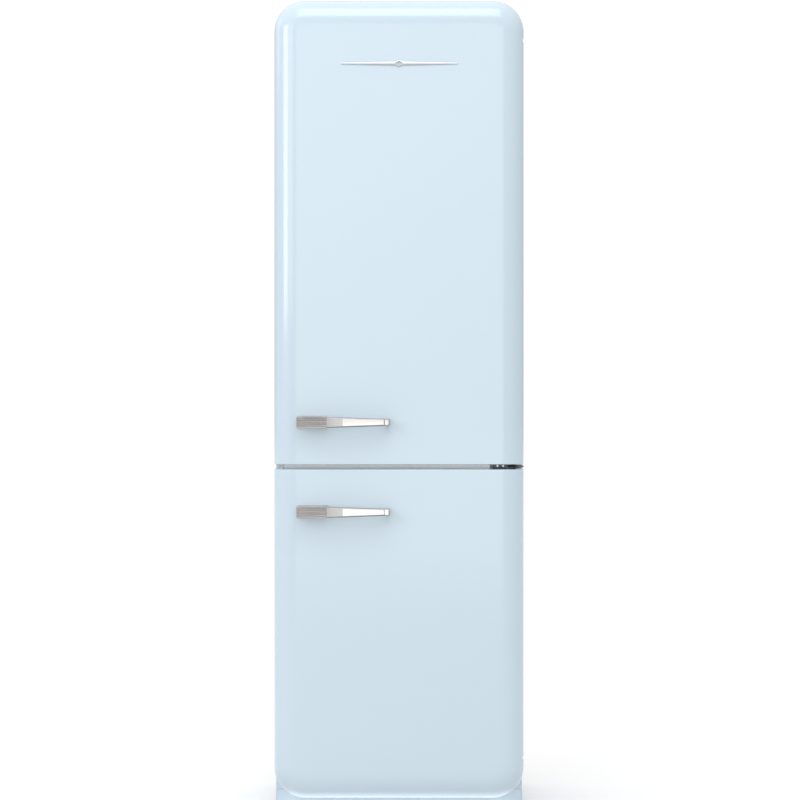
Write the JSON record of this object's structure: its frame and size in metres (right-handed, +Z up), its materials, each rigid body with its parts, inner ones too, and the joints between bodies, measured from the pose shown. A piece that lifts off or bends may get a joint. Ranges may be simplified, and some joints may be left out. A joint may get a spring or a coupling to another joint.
{
  "type": "refrigerator",
  "caption": "Tall 1950s-style refrigerator with its freezer below: rounded pillow-shaped doors, chromed lever handles, side hinges, inner shelves, bins and drawers, rear condenser",
  "frame": {"origin": "on the floor, below the middle of the whole object", "axes": "the doors and handles face -Y, the condenser faces +Y, the doors hang on the +X side, +Z is up"},
  "size_m": [0.601, 0.728, 1.968],
  "materials": {
    "door_enamel": "pale blue gloss enamel",
    "bright_chrome": "polished chrome",
    "rail_metal": "satin anodised",
    "hinge_steel": "dark satin steel",
    "panel_steel": "zinc coated sheet",
    "black_steel": "black paint, semi-matt",
    "black_plastic": "moulded, matt",
    "white_lining": "moulded, low gloss",
    "seal_rubber": "soft seal, matt",
    "insulation": "rigid foam",
    "clear_plastic": "clear moulded",
    "shelf_glass": "toughened, clear",
    "fin_foil": "mill finish"
  },
  "bodies": {
    "cabinet": {"cabinet_shell": "door_enamel", "back_panel": "panel_steel", "cabinet_foam": "insulation", "fridge_liner": "white_lining", "freezer_liner": "white_lining", "mid_rail": "rail_metal", "mid_rail_cap_left": "white_lining", "mid_rail_cap_right": "white_lining", "base_frame": "panel_steel", "plinth": "door_enamel", "compressor": "black_steel", "drip_tray": "white_lining", "condenser": "black_steel", "power_inlet": "black_plastic", "shelf_glass_1": "shelf_glass", "shelf_trim_1": "bright_chrome", "shelf_glass_2": "shelf_glass", "shelf_trim_2": "bright_chrome", "crisper_cover": "shelf_glass", "bottle_rack": "bright_chrome", "control_housing": "white_lining", "lamp_lens": "clear_plastic", "air_duct": "white_lining", "evaporator_cover": "white_lining", "evaporator": "fin_foil", "top_hinge": "hinge_steel", "middle_hinge": "hinge_steel", "bottom_hinge": "hinge_steel"},
    "upper_door": {"upper_door_skin": "door_enamel", "upper_door_foam": "insulation", "upper_door_liner": "white_lining", "upper_door_gasket": "seal_rubber", "upper_door_bush_bottom": "white_lining", "upper_door_bush_top": "white_lining", "upper_handle_hub": "bright_chrome", "upper_handle_bar": "bright_chrome", "door_ornament": "bright_chrome"},
    "lower_door": {"lower_door_skin": "door_enamel", "lower_door_foam": "insulation", "lower_door_liner": "white_lining", "lower_door_gasket": "seal_rubber", "lower_door_bush_top": "white_lining", "lower_door_bush_bottom": "white_lining", "lower_handle_hub": "bright_chrome", "lower_handle_bar": "bright_chrome"},
    "bottle_bin_body": {"bottle_bin": "clear_plastic"},
    "middle_bin_body": {"middle_bin": "clear_plastic"},
    "dairy_bin_body": {"dairy_bin": "clear_plastic"},
    "dairy_lid_body": {"dairy_lid": "clear_plastic"},
    "crisper_drawer_body": {"crisper_drawer": "clear_plastic"},
    "freezer_drawer_1_body": {"freezer_drawer_1": "clear_plastic"},
    "freezer_drawer_2_body": {"freezer_drawer_2": "clear_plastic"},
    "freezer_drawer_3_body": {"freezer_drawer_3": "clear_plastic"},
    "thermostat_knob_body": {"thermostat_knob": "white_lining"},
    "fan_rotor_body": {"fan_rotor": "black_plastic"},
    "left_roller": {"roller_left": "black_plastic"},
    "right_roller": {"roller_right": "black_plastic"},
    "left_foot": {"foot_left": "black_plastic"},
    "right_foot": {"foot_right": "black_plastic"}
  },
  "joints": [
    {"name": "upper_door_hinge", "type": "hinge", "parent": "cabinet", "child": "upper_door", "pos_m": [0.2895, -0.266, 0.852], "axis": [0, 0, 1], "range_deg": [0, 115]},
    {"name": "lower_door_hinge", "type": "hinge", "parent": "cabinet", "child": "lower_door", "pos_m": [0.2895, -0.266, 0.84], "axis": [0, 0, 1], "range_deg": [0, 115]},
    {"name": "bottle_bin_lift", "type": "slide", "parent": "upper_door", "child": "bottle_bin_body", "axis": [0, 0, 1], "range_m": [0, 0.02]},
    {"name": "middle_bin_lift", "type": "slide", "parent": "upper_door", "child": "middle_bin_body", "axis": [0, 0, 1], "range_m": [0, 0.02]},
    {"name": "dairy_bin_lift", "type": "slide", "parent": "upper_door", "child": "dairy_bin_body", "axis": [0, 0, 1], "range_m": [0, 0.02]},
    {"name": "dairy_lid_pivot", "type": "hinge", "parent": "dairy_bin_body", "child": "dairy_lid_body", "pos_m": [0, -0.214, 1.707], "axis": [1, 0, 0], "range_deg": [0, 90]},
    {"name": "crisper_slide", "type": "slide", "parent": "cabinet", "child": "crisper_drawer_body", "axis": [0, -1, 0], "range_m": [0, 0.025]},
    {"name": "freezer_drawer_1_slide", "type": "slide", "parent": "cabinet", "child": "freezer_drawer_1_body", "axis": [0, -1, 0], "range_m": [0, 0.03]},
    {"name": "freezer_drawer_2_slide", "type": "slide", "parent": "cabinet", "child": "freezer_drawer_2_body", "axis": [0, -1, 0], "range_m": [0, 0.03]},
    {"name": "freezer_drawer_3_slide", "type": "slide", "parent": "cabinet", "child": "freezer_drawer_3_body", "axis": [0, -1, 0], "range_m": [0, 0.03]},
    {"name": "thermostat_turn", "type": "hinge", "parent": "cabinet", "child": "thermostat_knob_body", "pos_m": [0.108, -0.098, 1.8937], "axis": [0, -1, 0], "range_deg": [0, 270]},
    {"name": "fan_spin", "type": "hinge", "parent": "cabinet", "child": "fan_rotor_body", "pos_m": [0, 0.2555, 0.746], "axis": [0, 1, 0], "continuous": true},
    {"name": "left_roller_spin", "type": "hinge", "parent": "cabinet", "child": "left_roller", "pos_m": [-0.2525, 0.288, 0.011], "axis": [1, 0, 0], "continuous": true},
    {"name": "right_roller_spin", "type": "hinge", "parent": "cabinet", "child": "right_roller", "pos_m": [0.2525, 0.288, 0.011], "axis": [1, 0, 0], "continuous": true},
    {"name": "left_foot_turn", "type": "hinge", "parent": "cabinet", "child": "left_foot", "pos_m": [-0.2525, -0.168, 0], "axis": [0, 0, 1], "continuous": true},
    {"name": "right_foot_turn", "type": "hinge", "parent": "cabinet", "child": "right_foot", "pos_m": [0.2525, -0.168, 0], "axis": [0, 0, 1], "continuous": true}
  ]
}
